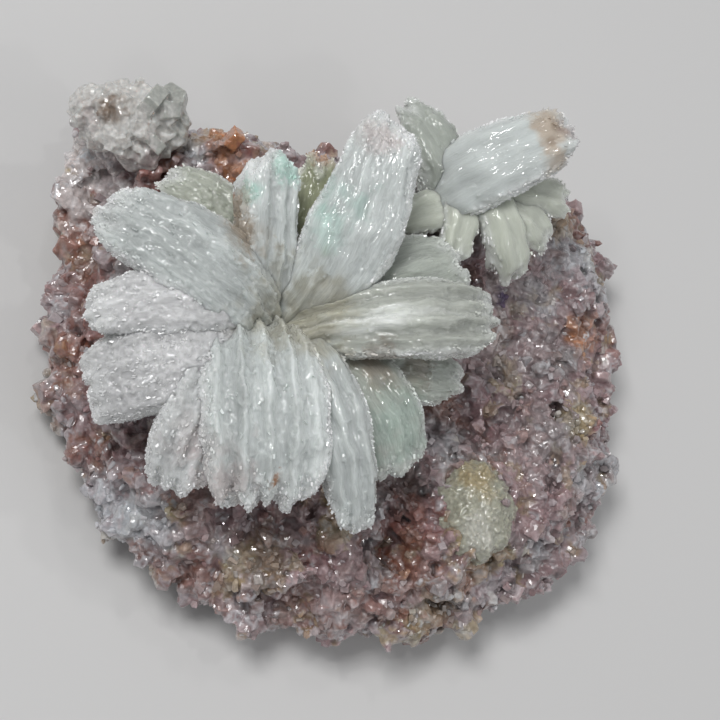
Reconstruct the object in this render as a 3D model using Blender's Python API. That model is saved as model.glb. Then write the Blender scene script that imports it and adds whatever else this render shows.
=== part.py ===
"""Gypsum flower specimen.

Two rosettes of curved, fibrous gypsum blades, a pale button of small crystals and a corner cluster,
all grown on one flat-backed plate of intergrown crystals.

Metres, +Z up. The plate lies on its back with the blades rising from it. The origin is the middle of
the flat back, on the surface that the specimen rests on; -Y is the specimen's lower edge.
"""

import math
import random
from collections import namedtuple

import bmesh
import bpy
from mathutils import Euler, Matrix, Vector, noise

MM = 0.001
SEED = 11

# The plate of matrix rock, in millimetres. Its top is a square grid of cells drawn out to its outline.
PLATE_TOP = 25.0
PLATE_RIM = 14.0
PLATE_CELLS = 25
WALL_STEPS = 3
# Where the top starts to fall away to the rim, as a share of the reach, and how far in the back is.
RIM_STARTS = 0.80
BACK_INSET = 0.90
# The widest outline of the plate, anticlockwise from the right edge.
PLATE_OUTLINE = [
    (69, 7), (70, 22), (69, 37), (62, 48), (48, 52), (31, 55), (16, 56), (-3, 54), (-12, 53),
    (-32, 55), (-41, 56), (-48, 58), (-56, 59), (-60, 51), (-60, 43), (-63, 32), (-62, 21),
    (-64, 9), (-63, -5), (-59, -16), (-55, -28), (-46, -36), (-36, -44), (-28, -49), (-17, -54),
    (0, -57), (21, -55), (33, -50), (47, -45), (60, -34), (67, -20), (69, -7),
]  # fmt: skip
LUMP_SIZE, LUMP_HEIGHT = 13.0, 3.2
GRIT_SIZE, GRIT_HEIGHT = 4.0, 2.6
# Below this height the roughness fades out towards the flat back.
SMOOTH_FOOT = 5.0

# Low hills and pits of the plate's top: middle (x, y), radius and height, in millimetres.
Hill = namedtuple("Hill", "x y radius height")
PLATE_HILLS = [
    Hill(-22, 5, 29, 12),
    Hill(26, 39, 19, 13),
    Hill(-28, 51, 17, 11),
    Hill(-55, 49, 14, 10),
    Hill(30, -29, 11, 3),
    Hill(-57, -4, 12, -4),
    Hill(10, -39, 5, -7),
    Hill(-55, 37, 5, -7),
    Hill(-27, -40, 9, -3),
    Hill(47, -6, 14, 3),
]

# Single crystals big enough to see from a step away, fused to the plate.
CRYSTAL_COUNT = 52
CRYSTAL_SMALLEST, CRYSTAL_LARGEST = 3.5, 6.0
# They are spread from this share of the plate's reach to the foot of its wall.
CRYSTALS_START, CRYSTALS_END = 0.30, 1.45
BLOCK_SHARE = 0.6
CRYSTAL_RISE = -0.1
GOLDEN_TURN = math.pi * (3 - math.sqrt(5))

# Clearance between two pieces that touch, in millimetres.
SEAM = 0.3

# A blade is a thick curved sheaf of fibres. Its spine runs from root through crest to tip, in
# millimetres. width and thickness are the greatest ones; roll turns the blade about its spine, in
# degrees; root_share and tip_share are the width at its ends; widest is where along the spine it is
# widest; pleats are the ridges along its upper face; rings are the facets along it. Each is a node
# called by its name here and "_blade", and gives way to those above it.
Blade = namedtuple("Blade", "root crest tip width thickness roll root_share tip_share widest pleats rings")
BLADES = {
    "bottom_broad": Blade((-23, -3, 29), (-27, -19, 53), (-24, -29, 44), 26, 12, 5, 0.62, 0.95, 0.7, 5, 10),
    "tall": Blade((-19, 5, 29), (-9, 22, 54), (-3, 44, 59), 19, 11, -14, 0.60, 0.75, 0.6, 4, 10),
    "lower_right": Blade((-17, 3, 29), (-11, -18, 51), (-5, -35, 40), 13, 11, 8, 0.55, 0.7, 0.5, 3, 10),
    "upper_left": Blade((-24, 6, 29), (-43, 15, 53), (-58, 23, 47), 20, 12, 4, 0.55, 0.75, 0.6, 4, 9),
    "right_front": Blade((-17, 4, 29), (1, 5, 53), (22, 8, 45), 17, 11, -4, 0.45, 0.8, 0.7, 4, 9),
    "left": Blade((-28, 4, 29), (-47, 5, 51), (-59, 3, 44), 14, 11, 2, 0.5, 0.8, 0.7, 3, 8),
    "bottom_left": Blade((-28, 0, 29), (-39, -16, 48), (-40, -26, 36), 16, 11, -6, 0.45, 0.9, 0.7, 4, 8),
    "lower_left": Blade((-29, 2, 29), (-47, -7, 48), (-57, -9, 37), 18, 11, -4, 0.45, 0.9, 0.7, 4, 8),
    "upper_small": Blade((-22, 10, 29), (-27, 23, 51), (-27, 37, 53), 13, 11, 22, 0.55, 0.85, 0.6, 3, 8),
    "right_back": Blade((-14, 8, 29), (4, 16, 47), (17, 21, 42), 16, 9, -10, 0.4, 0.85, 0.7, 3, 8),
    "lower_right_back": Blade((-13, 2, 29), (-1, -10, 45), (5, -22, 36), 16, 9, 12, 0.4, 0.85, 0.7, 3, 8),
    "right_low": Blade((-11, 3, 29), (6, -3, 43), (18, -3, 38), 13, 9, 8, 0.4, 0.8, 0.7, 2, 7),
    "back_green": Blade((-15, 21, 26), (-14, 30, 43), (-13, 41, 43), 11, 8, 0, 0.8, 0.85, 0.5, 2, 6),
    "back_left": Blade((-26, 21, 26), (-34, 29, 41), (-43, 35, 36), 12, 8, 0, 0.8, 0.85, 0.5, 2, 6),
    "second_large": Blade((18, 38, 31), (24, 42, 53), (39, 49, 54), 17, 11, -8, 0.7, 0.8, 0.5, 3, 9),
    "second_front": Blade((25, 35, 30), (28, 29, 47), (31, 22, 40), 10, 8, 0, 0.7, 0.9, 0.6, 2, 6),
    "second_left": Blade((20, 32, 32), (18, 28, 45), (18, 24, 40), 9, 6, 0, 0.6, 0.85, 0.6, 2, 6),
    "second_right": Blade((28, 36, 30), (33, 33, 46), (38, 30, 40), 10, 8, 0, 0.6, 0.85, 0.6, 2, 6),
    "second_far": Blade((29, 40, 30), (35, 38, 47), (42, 38, 42), 10, 8, 0, 0.6, 0.8, 0.6, 2, 6),
    "second_side": Blade((17, 35, 30), (12, 33, 43), (6, 31, 37), 10, 7, 0, 0.7, 0.85, 0.6, 2, 6),
    "second_back": Blade((17, 43, 30), (12, 47, 46), (8, 54, 42), 13, 9, 0, 0.7, 0.85, 0.5, 2, 6),
}  # fmt: skip
SECTION_POWER = 3.0
# A blade has two facets for each pleat on its upper face, and this many on its lower face.
LOWER_SIDES = 4
PLEAT_DEPTH, PLEAT_VARIETY = 0.17, 0.9
ROOT_ROUND, TIP_ROUND = 0.06, 0.11
# The tip is ragged: the crests of its pleats reach past the furrows, and bundles of fibres of about
# this width end at different lengths.
TIP_TEETH = 1.2
BUNDLE_WIDTH, BUNDLE_REACH = 3.1, 4.5
BLADE_NOISE_SIZE, BLADE_NOISE_HEIGHT = 5.0, 0.7

# The pale button: a low dome of small crystals with a serrated edge.
BUTTON_PLACE = (29, -29, 25)
BUTTON_RADII = (9.5, 12.0, 7.5)
BUTTON_TEETH, BUTTON_TOOTH_DEPTH = 9, 0.10
BUTTON_RINGS = 10

# The corner cluster: short thick crystals joined in one solid, each with its place, half sizes and turn.
Lump = namedtuple("Lump", "place half turn")
CORNER_LUMPS = [
    Lump((-54, 49, 36), (7.0, 6.5, 7.0), (20, 10, 15)),
    Lump((-47, 48, 36), (6.0, 4.5, 6.5), (-15, 25, -20)),
    Lump((-59, 50, 34), (4.5, 5.5, 6.0), (10, -20, 40)),
    Lump((-50, 44, 34), (4.5, 4.5, 5.0), (30, 0, 60)),
]
LUMP_BEVEL = 0.42

Finish = namedtuple("Finish", "colour roughness")
WHITE_GYPSUM = Finish((0.80, 0.82, 0.80), 0.45)
CREAM_GYPSUM = Finish((0.74, 0.74, 0.62), 0.45)
MATRIX_ROCK = Finish((0.34, 0.27, 0.26), 0.55)


def clear_scene():
    for obj in list(bpy.data.objects):
        bpy.data.objects.remove(obj, do_unlink=True)


def smooth_step(low, high, value):
    share = min(max((value - low) / (high - low), 0.0), 1.0)
    return share * share * (3 - 2 * share)


def material(name, finish):
    made = bpy.data.materials.new(name)
    made.use_nodes = True
    shader = made.node_tree.nodes["Principled BSDF"]
    shader.inputs["Base Color"].default_value = (*finish.colour, 1)
    shader.inputs["Roughness"].default_value = finish.roughness
    shader.inputs["Metallic"].default_value = 0
    return made


def object_from(name, bm, finish):
    """A flat-shaded object from a bmesh in millimetres, in triangles so that every facet is flat."""
    bmesh.ops.triangulate(bm, faces=bm.faces)
    bmesh.ops.transform(bm, matrix=Matrix.Scale(MM, 4), verts=bm.verts)
    bmesh.ops.recalc_face_normals(bm, faces=bm.faces)
    mesh = bpy.data.meshes.new(name)
    bm.to_mesh(mesh)
    bm.free()
    mesh.materials.append(finish)
    obj = bpy.data.objects.new(name, mesh)
    bpy.context.scene.collection.objects.link(obj)
    return obj


def unit_sphere(sides, rings):
    bm = bmesh.new()
    bmesh.ops.create_uvsphere(bm, u_segments=sides, v_segments=rings, radius=1)
    return bm


def sphere_place(point):
    """(share of the way from the lower pole to the upper one, angle round the axis) on a unit sphere."""
    return math.acos(-max(-1.0, min(1.0, point.z))) / math.pi, math.atan2(point.y, point.x)


def noise_shift(point, size, height):
    """A smooth random shift of up to about height, in lumps of about that size."""
    return noise.noise_vector(point / size) * height


def apply_boolean(obj, operand, operation):
    """Applies one exact Boolean and removes its operand."""
    modifier = obj.modifiers.new(operation.title(), "BOOLEAN")
    modifier.operation = operation
    modifier.solver = "EXACT"
    modifier.use_self = operation == "UNION"
    modifier.object = operand
    graph = bpy.context.evaluated_depsgraph_get()
    mesh = bpy.data.meshes.new_from_object(obj.evaluated_get(graph))
    obj.modifiers.clear()
    obj.data = mesh
    bpy.data.objects.remove(operand, do_unlink=True)


def islands(bm):
    """The connected groups of a bmesh's vertices."""
    found, seen = [], set()
    for start in bm.verts:
        if start in seen:
            continue
        seen.add(start)
        group, border = [start], [start]
        while border:
            for edge in border.pop().link_edges:
                for vert in edge.verts:
                    if vert not in seen:
                        seen.add(vert)
                        group.append(vert)
                        border.append(vert)
        found.append(group)
    return found


def extent(verts):
    """The diagonal of the box round some vertices."""
    lows = [min(vert.co[axis] for vert in verts) for axis in range(3)]
    highs = [max(vert.co[axis] for vert in verts) for axis in range(3)]
    return (Vector(highs) - Vector(lows)).length


def keep_largest_island(obj):
    """Drops the crumbs that a cut leaves, so that the piece stays one body."""
    bm = bmesh.new()
    bm.from_mesh(obj.data)
    groups = sorted(islands(bm), key=extent)
    for crumb in groups[:-1]:
        bmesh.ops.delete(bm, geom=crumb, context="VERTS")
    bmesh.ops.dissolve_degenerate(bm, dist=0.002 * MM, edges=bm.edges)
    bm.to_mesh(obj.data)
    bm.free()


def boxes_meet(first, second):
    """Whether the boxes of two objects meet."""
    corners = [[obj.matrix_world @ Vector(corner) for corner in obj.bound_box] for obj in (first, second)]
    return all(
        min(c[axis] for c in corners[0]) <= max(c[axis] for c in corners[1])
        and min(c[axis] for c in corners[1]) <= max(c[axis] for c in corners[0])
        for axis in range(3)
    )


def spine(blade, share):
    """(point, tangent) of a blade's spine: the round arc through its root, crest and tip."""
    root, crest, tip = Vector(blade.root), Vector(blade.crest), Vector(blade.tip)
    to_crest, to_tip = crest - root, tip - root
    axis = to_crest.cross(to_tip)
    reach = axis.cross(to_crest) * to_tip.length_squared + to_tip.cross(axis) * to_crest.length_squared
    centre = root + reach / (2 * axis.length_squared)
    axis.normalize()
    start, end = root - centre, tip - centre
    sweep = math.atan2(start.cross(end).dot(axis), start.dot(end)) % math.tau
    arm = Matrix.Rotation(sweep * share, 3, axis) @ start
    return centre + arm, axis.cross(arm).normalized()


def blade_frame(blade, tangent):
    """(across, up) of a blade's section: across starts level and turns about the spine by the roll."""
    level = Vector(blade.tip) - Vector(blade.root)
    across = Vector((-level.y, level.x, 0)).normalized()
    across = (across - across.dot(tangent) * tangent).normalized()
    across.rotate(Matrix.Rotation(math.radians(blade.roll), 3, tangent))
    return across, tangent.cross(across).normalized()


def blade_spread(blade, along):
    """The share of its greatest width that a blade has at a share along its spine."""
    if along < blade.widest:
        return blade.root_share + (1 - blade.root_share) * smooth_step(0, blade.widest, along)
    return 1 - (1 - blade.tip_share) * smooth_step(blade.widest, 1, along)


def end_rounding(distance, reach):
    """0 at an end of a blade, rising as a quarter circle to 1 where reach is passed."""
    share = min(distance / reach, 1.0)
    return math.sqrt(1 - (1 - share) ** 2)


def blade_section(blade, turn):
    """(place across, rise, pleat) for a share of a full turn round a blade's section.

    The place across runs from 1 to -1 over the pleated upper face and back again under it, the rise
    is that of a box with rounded sides, and the pleat is 1 on a crest and -1 in a furrow or below.
    """
    upper = 2 * blade.pleats / (2 * blade.pleats + LOWER_SIDES)
    if turn < upper:
        across = 1 - 2 * turn / upper
        pleat = -math.cos(math.tau * blade.pleats * turn / upper)
    else:
        across = 2 * (turn - upper) / (1 - upper) - 1
        pleat = -1.0
    rise = max(0.0, 1 - abs(across) ** SECTION_POWER) ** (1 / SECTION_POWER)
    return across, rise if turn < upper else -rise, pleat


def blade_point(blade, along, turn, clearance):
    """The point of a blade's surface at shares along its spine and round its section."""
    point, tangent = spine(blade, along)
    across, up = blade_frame(blade, tangent)
    ends = end_rounding(along, ROOT_ROUND) * end_rounding(1 - along, TIP_ROUND)
    spread = blade_spread(blade, along)
    side, rise, pleat = blade_section(blade, turn)
    half_width = (blade.width / 2 * spread + clearance) * ends
    bundle = noise.noise(Vector((side * blade.width / 2 / BUNDLE_WIDTH, blade.width, rise)))
    depth = 0.6 + 0.4 * spread + PLEAT_DEPTH * pleat * (1 + PLEAT_VARIETY * bundle)
    half_thickness = (blade.thickness / 2 * depth + clearance) * ends
    reach = (bundle * BUNDLE_REACH + pleat * TIP_TEETH) * smooth_step(0.7, 0.95, along)
    reach += clearance * (smooth_step(0.9, 1, along) - smooth_step(0.1, 0, along))
    return point + across * side * half_width + up * rise * half_thickness + tangent * reach


def blade_object(name, finish, clearance=0.0):
    blade = BLADES[name]
    bm = unit_sphere(2 * blade.pleats + LOWER_SIDES, blade.rings)
    for vert in bm.verts:
        along, angle = sphere_place(vert.co)
        turn = (angle / math.tau - 0.25) % 1
        rough = noise_shift(blade_point(blade, along, turn, 0), BLADE_NOISE_SIZE, BLADE_NOISE_HEIGHT)
        vert.co = blade_point(blade, along, turn, clearance) + rough
    return object_from(name + "_blade", bm, finish)


def outline_radius(angle):
    """The plate's widest reach from the origin at an angle, straight between the outline's points."""
    heading = (math.cos(angle), math.sin(angle))
    for (ax, ay), (bx, by) in zip(PLATE_OUTLINE, PLATE_OUTLINE[1:] + PLATE_OUTLINE[:1]):
        cross = (bx - ax) * heading[1] - (by - ay) * heading[0]
        if abs(cross) < 1e-9:
            continue
        reach = ((bx - ax) * -ay + (by - ay) * ax) / -cross
        share = (ax * heading[1] - ay * heading[0]) / -cross
        if reach > 0 and -1e-9 <= share <= 1 + 1e-9:
            return reach
    raise ValueError("the plate's outline doesn't go round the origin")


def plate_height(x, y):
    """The plate's top, before its rim falls away."""
    height = PLATE_TOP
    for hill in PLATE_HILLS:
        distance = math.hypot(x - hill.x, y - hill.y) / hill.radius
        height += hill.height * math.exp(-distance * distance)
    return height


def plate_point(share, angle, down):
    """A point of the plate: share of the reach at an angle, and down the wall from 0, rim, to 1, back."""
    inset = 1 - (1 - BACK_INSET) * down**2
    reach = outline_radius(angle) * share * inset
    x = reach * math.cos(angle)
    y = reach * math.sin(angle)
    top = plate_height(x, y)
    edge = PLATE_RIM + (top - PLATE_TOP) * 0.6
    z = top + (edge - top) * smooth_step(RIM_STARTS, 1.0, share)
    return Vector((x, y, z * (1 - down)))


def rough_plate_point(share, angle, down):
    """A point of the plate with its lumps and grit, which fade out towards the flat back."""
    point = plate_point(share, angle, down)
    rough = noise_shift(point, LUMP_SIZE, LUMP_HEIGHT) + noise_shift(point, GRIT_SIZE, GRIT_HEIGHT)
    return point + rough * smooth_step(0.0, SMOOTH_FOOT, point.z)


def square_to_disc(u, v):
    """(share of the reach, angle) for a place on a square from -1 to 1, with cells of even size."""
    if abs(u) > abs(v):
        share, angle = u, math.pi / 4 * v / u
    elif v:
        share, angle = v, math.pi / 2 - math.pi / 4 * u / v
    else:
        share, angle = 0.0, 0.0
    if share < 0:
        angle += math.pi
    return abs(share), angle


def plate_rock(finish, clearance=0.0):
    """The plate: a grid for its top, extruded down for its wall, and one face for its flat back."""
    bm = bmesh.new()
    bmesh.ops.create_grid(bm, x_segments=PLATE_CELLS, y_segments=PLATE_CELLS, size=1)
    for step in range(WALL_STEPS):
        rim = [edge for edge in bm.edges if edge.is_boundary]
        made = bmesh.ops.extrude_edge_only(bm, edges=rim)["geom"]
        for vert in made:
            if isinstance(vert, bmesh.types.BMVert):
                vert.co.z = -(step + 1) / WALL_STEPS
    bmesh.ops.edgeloop_fill(bm, edges=[edge for edge in bm.edges if edge.is_boundary])
    for vert in bm.verts:
        share, angle = square_to_disc(vert.co.x, vert.co.y)
        vert.co = rough_plate_point(share, angle, -vert.co.z) + Vector((0, 0, clearance))
    return object_from("matrix", bm, finish)


def room_left(place):
    """How far a place on the plate is from the nearest piece that grows from it, in millimetres."""
    room = (Vector(BUTTON_PLACE) - place).length - max(BUTTON_RADII)
    for lump in CORNER_LUMPS:
        room = min(room, (Vector(lump.place) - place).length - max(lump.half))
    for blade in BLADES.values():
        for step in range(11):
            point = spine(blade, step / 10)[0]
            room = min(room, (point - place).length - blade.width / 2)
    return room


def add_crystal(bm, place, outward, size, rng):
    """One block or six-sided point, standing out of the surface at a random lean."""
    turn = outward.to_track_quat("Z", "Y").to_matrix().to_4x4()
    lean = Euler((rng.uniform(-0.5, 0.5), rng.uniform(-0.5, 0.5), rng.uniform(0, math.tau))).to_matrix()
    matrix = Matrix.Translation(place) @ turn @ lean.to_4x4()
    if rng.random() < BLOCK_SHARE:
        proportions = Matrix.Diagonal((size, size * rng.uniform(0.5, 0.9), size * rng.uniform(0.8, 1.1), 1))
        bmesh.ops.create_cube(bm, size=1, matrix=matrix @ proportions)
    else:
        bmesh.ops.create_cone(
            bm,
            cap_ends=True,
            cap_tris=False,
            segments=6,
            radius1=size * 0.55,
            radius2=size * 0.12,
            depth=size * 1.2,
            matrix=matrix,
        )


def plate_crystals(finish):
    """The crystals that show from a step away, spread evenly over the top and the wall."""
    rng = random.Random(SEED)
    bm = bmesh.new()
    for count in range(CRYSTAL_COUNT):
        angle = count * GOLDEN_TURN
        spread = math.sqrt((count + 0.5) / CRYSTAL_COUNT)
        way = CRYSTALS_START + (CRYSTALS_END - CRYSTALS_START) * spread
        down = max(0.0, way - 1)
        place = rough_plate_point(min(way, 1.0), angle, down)
        level = smooth_step(RIM_STARTS, 1.1, way)
        outward = Vector((math.cos(angle) * level, math.sin(angle) * level, 1.1 - level)).normalized()
        size = rng.uniform(CRYSTAL_SMALLEST, CRYSTAL_LARGEST)
        if place.z > size and room_left(place) > size:
            add_crystal(bm, place + outward * size * CRYSTAL_RISE, outward, size, rng)
    return object_from("crystals", bm, finish)


def matrix_plate(finish):
    """The plate with its crystals fused on."""
    plate = plate_rock(finish)
    apply_boolean(plate, plate_crystals(finish), "UNION")
    keep_largest_island(plate)
    return plate


def seat_on_plate(piece, finish):
    """Cuts a piece off just above the plate's rock, where it grows from it."""
    apply_boolean(piece, plate_rock(finish, SEAM), "DIFFERENCE")
    keep_largest_island(piece)


def button(name, finish):
    """The pale button: a dome whose edge and top are cut into teeth by the crystals that fan out of it."""
    bm = unit_sphere(2 * BUTTON_TEETH, BUTTON_RINGS)
    for vert in bm.verts:
        up, angle = sphere_place(vert.co)
        tooth = 1 + BUTTON_TOOTH_DEPTH * math.cos(BUTTON_TEETH * angle) * math.sin(up * math.pi)
        spot = Vector([c * r * tooth for c, r in zip(vert.co, BUTTON_RADII)]) + Vector(BUTTON_PLACE)
        vert.co = spot + noise_shift(spot, BLADE_NOISE_SIZE, BLADE_NOISE_HEIGHT)
    return object_from(name, bm, finish)


def corner_lump(name, lump, finish):
    bm = bmesh.new()
    bmesh.ops.create_cube(bm, size=2)
    bmesh.ops.bevel(
        bm,
        geom=bm.edges[:],
        offset=LUMP_BEVEL,
        offset_type="OFFSET",
        segments=1,
        profile=0.5,
        affect="EDGES",
        material=-1,
    )
    turn = Euler([math.radians(a) for a in lump.turn]).to_matrix().to_4x4()
    place = Matrix.Translation(lump.place) @ turn @ Matrix.Diagonal((*lump.half, 1))
    bmesh.ops.transform(bm, matrix=place, verts=bm.verts)
    return object_from(name, bm, finish)


def corner_cluster(name, finish):
    """The corner cluster: its crystals overlap, so they are joined in one solid."""
    cluster = corner_lump(name, CORNER_LUMPS[0], finish)
    for lump in CORNER_LUMPS[1:]:
        apply_boolean(cluster, corner_lump(name + "_lump", lump, finish), "UNION")
    return cluster


def main():
    clear_scene()
    # The noise takes its places from the clock unless its seed is set.
    noise.seed_set(SEED)
    white = material("white_gypsum", WHITE_GYPSUM)
    cream = material("cream_gypsum", CREAM_GYPSUM)
    rock = material("matrix_rock", MATRIX_ROCK)

    built = []
    for name in BLADES:
        piece = blade_object(name, white)
        seat_on_plate(piece, white)
        for other in built:
            cutter = blade_object(other, white, SEAM)
            if boxes_meet(piece, cutter):
                apply_boolean(piece, cutter, "DIFFERENCE")
            else:
                bpy.data.objects.remove(cutter, do_unlink=True)
        keep_largest_island(piece)
        built.append(name)

    seat_on_plate(button("pale_button", cream), cream)
    seat_on_plate(corner_cluster("corner_cluster", cream), cream)
    matrix_plate(rock)


main()
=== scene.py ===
import math
import random
from collections import namedtuple
from itertools import product

import bmesh
import bpy
import numpy as np
from mathutils import Euler, Matrix, Vector, kdtree, noise


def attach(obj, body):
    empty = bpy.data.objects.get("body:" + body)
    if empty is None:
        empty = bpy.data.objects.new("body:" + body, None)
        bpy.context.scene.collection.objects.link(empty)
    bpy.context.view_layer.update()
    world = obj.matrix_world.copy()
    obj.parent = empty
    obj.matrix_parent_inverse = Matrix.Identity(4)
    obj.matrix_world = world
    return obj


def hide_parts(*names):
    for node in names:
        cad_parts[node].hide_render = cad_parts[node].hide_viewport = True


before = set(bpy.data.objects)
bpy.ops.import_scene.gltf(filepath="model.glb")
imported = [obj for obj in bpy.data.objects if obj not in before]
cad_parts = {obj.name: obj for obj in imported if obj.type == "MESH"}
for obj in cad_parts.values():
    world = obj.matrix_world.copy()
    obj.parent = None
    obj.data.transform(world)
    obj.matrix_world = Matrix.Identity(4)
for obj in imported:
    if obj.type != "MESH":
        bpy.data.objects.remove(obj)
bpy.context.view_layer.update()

# The looks of a gypsum flower: sheaves of fibrous gypsum on a crust of small glassy crystals.
# Lengths are in millimetres up to the moment a mesh is made.
MM = 0.001
SEED = 11
# The noise takes its places from the clock unless its seed is set. With this one it is the solids' own.
noise.seed_set(SEED)
DICE = np.random.default_rng(SEED)

# Colours, from the real specimen.
FROST_WHITE = "#D8DAD9"
SPAR_WHITE = "#CFD4D2"
SPAR_SOFT = "#C2C7C5"
SPAR_NEUTRAL = "#D0D0D0"
SPAR_SHADE = "#AEB3AB"
SPAR_GREY = "#B9BCB4"
SPAR_CREAM = "#C8CCC0"
# White for the blades' edges, tips and fibre crests. On the edges it is partly their real whitish frost and partly
# painted highlight. On the crests it is painted highlight.
FROST_AND_HIGHLIGHT = "#F6F8F6"
MINT = "#A6D2C4"
# A dark warm cream for the flower's throat: partly its real cream tint, partly painted shade where the blades' roots
# crowd together.
CREAM_AND_SHADE = "#9C957E"
BLUSH = "#CDB2B0"
OLIVE = "#A0A488"
SAGE = "#B4B8AC"
TAN = "#7E6650"
RUST = "#A06A3A"
MAUVE = "#93787A"
RED_BROWN = "#7C4A3E"
RUST_RED = "#96604A"
DARK_BROWN = "#5E3C32"
ROCK_GREY = "#938B8B"
PINK_GREY = "#A68E8E"
OCHRE = "#A8966F"
UMBER = "#8C6658"
BROWN_GREY = "#7A6464"
SMOKE_BROWN = "#A09484"
PEACH = "#C3B5A5"
ORANGE_BROWN = "#AE7448"
MAGENTA = "#8A4C54"
PURPLE = "#4A3060"
TEAL = "#6FB5A2"
# Near black, for the plate's deep hollow: painted shade over the pit's own dark brown.
PIT_SHADE = "#22100D"
ICE = "#C3C7CB"
LILAC_WHITE = "#DDD3D1"
BUTTON_CREAM = "#A5A494"
CLUSTER_WHITE = "#E0DEDA"
CLEAR_GREY = "#B6B8B2"

# The blades, as the solids have them. A spine runs from root through crest to tip. width and
# thickness are the greatest ones; roll turns the blade about its spine, in degrees; root_share and
# tip_share are the width at its ends; widest is where along the spine it is widest.
Blade = namedtuple("Blade", "root crest tip width thickness roll root_share tip_share widest pleats")
BLADES = {
    "bottom_broad": Blade((-23, -3, 29), (-27, -19, 53), (-24, -29, 44), 26, 12, 5, 0.62, 0.95, 0.7, 5),
    "tall": Blade((-19, 5, 29), (-9, 22, 54), (-3, 44, 59), 19, 11, -14, 0.60, 0.75, 0.6, 4),
    "lower_right": Blade((-17, 3, 29), (-11, -18, 51), (-5, -35, 40), 13, 11, 8, 0.55, 0.7, 0.5, 3),
    "upper_left": Blade((-24, 6, 29), (-43, 15, 53), (-58, 23, 47), 20, 12, 4, 0.55, 0.75, 0.6, 4),
    "right_front": Blade((-17, 4, 29), (1, 5, 53), (22, 8, 45), 17, 11, -4, 0.45, 0.8, 0.7, 4),
    "left": Blade((-28, 4, 29), (-47, 5, 51), (-59, 3, 44), 14, 11, 2, 0.5, 0.8, 0.7, 3),
    "bottom_left": Blade((-28, 0, 29), (-39, -16, 48), (-40, -26, 36), 16, 11, -6, 0.45, 0.9, 0.7, 4),
    "lower_left": Blade((-29, 2, 29), (-47, -7, 48), (-57, -9, 37), 18, 11, -4, 0.45, 0.9, 0.7, 4),
    "upper_small": Blade((-22, 10, 29), (-27, 23, 51), (-27, 37, 53), 13, 11, 22, 0.55, 0.85, 0.6, 3),
    "right_back": Blade((-14, 8, 29), (4, 16, 47), (17, 21, 42), 16, 9, -10, 0.4, 0.85, 0.7, 3),
    "lower_right_back": Blade((-13, 2, 29), (-1, -10, 45), (5, -22, 36), 16, 9, 12, 0.4, 0.85, 0.7, 3),
    "right_low": Blade((-11, 3, 29), (6, -3, 43), (18, -3, 38), 13, 9, 8, 0.4, 0.8, 0.7, 2),
    "back_green": Blade((-15, 21, 26), (-14, 30, 43), (-13, 41, 43), 11, 8, 0, 0.8, 0.85, 0.5, 2),
    "back_left": Blade((-26, 21, 26), (-34, 29, 41), (-43, 35, 36), 12, 8, 0, 0.8, 0.85, 0.5, 2),
    "second_large": Blade((18, 38, 31), (24, 42, 53), (39, 49, 54), 17, 11, -8, 0.7, 0.8, 0.5, 3),
    "second_front": Blade((25, 35, 30), (28, 29, 47), (31, 22, 40), 10, 8, 0, 0.7, 0.9, 0.6, 2),
    "second_left": Blade((20, 32, 32), (18, 28, 45), (18, 24, 40), 9, 6, 0, 0.6, 0.85, 0.6, 2),
    "second_right": Blade((28, 36, 30), (33, 33, 46), (38, 30, 40), 10, 8, 0, 0.6, 0.85, 0.6, 2),
    "second_far": Blade((29, 40, 30), (35, 38, 47), (42, 38, 42), 10, 8, 0, 0.6, 0.8, 0.6, 2),
    "second_side": Blade((17, 35, 30), (12, 33, 43), (6, 31, 37), 10, 7, 0, 0.7, 0.85, 0.6, 2),
    "second_back": Blade((17, 43, 30), (12, 47, 46), (8, 54, 42), 13, 9, 0, 0.7, 0.85, 0.5, 2),
}  # fmt: skip
SECTION_POWER = 3.0
LOWER_SIDES = 4
PLEAT_VARIETY = 0.9
ROOT_ROUND, TIP_ROUND = 0.06, 0.11
TIP_TEETH = 1.2
BUNDLE_WIDTH, BUNDLE_REACH = 3.1, 4.5
BLADE_NOISE_SIZE, BLADE_NOISE_HEIGHT = 5.0, 0.7

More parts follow.
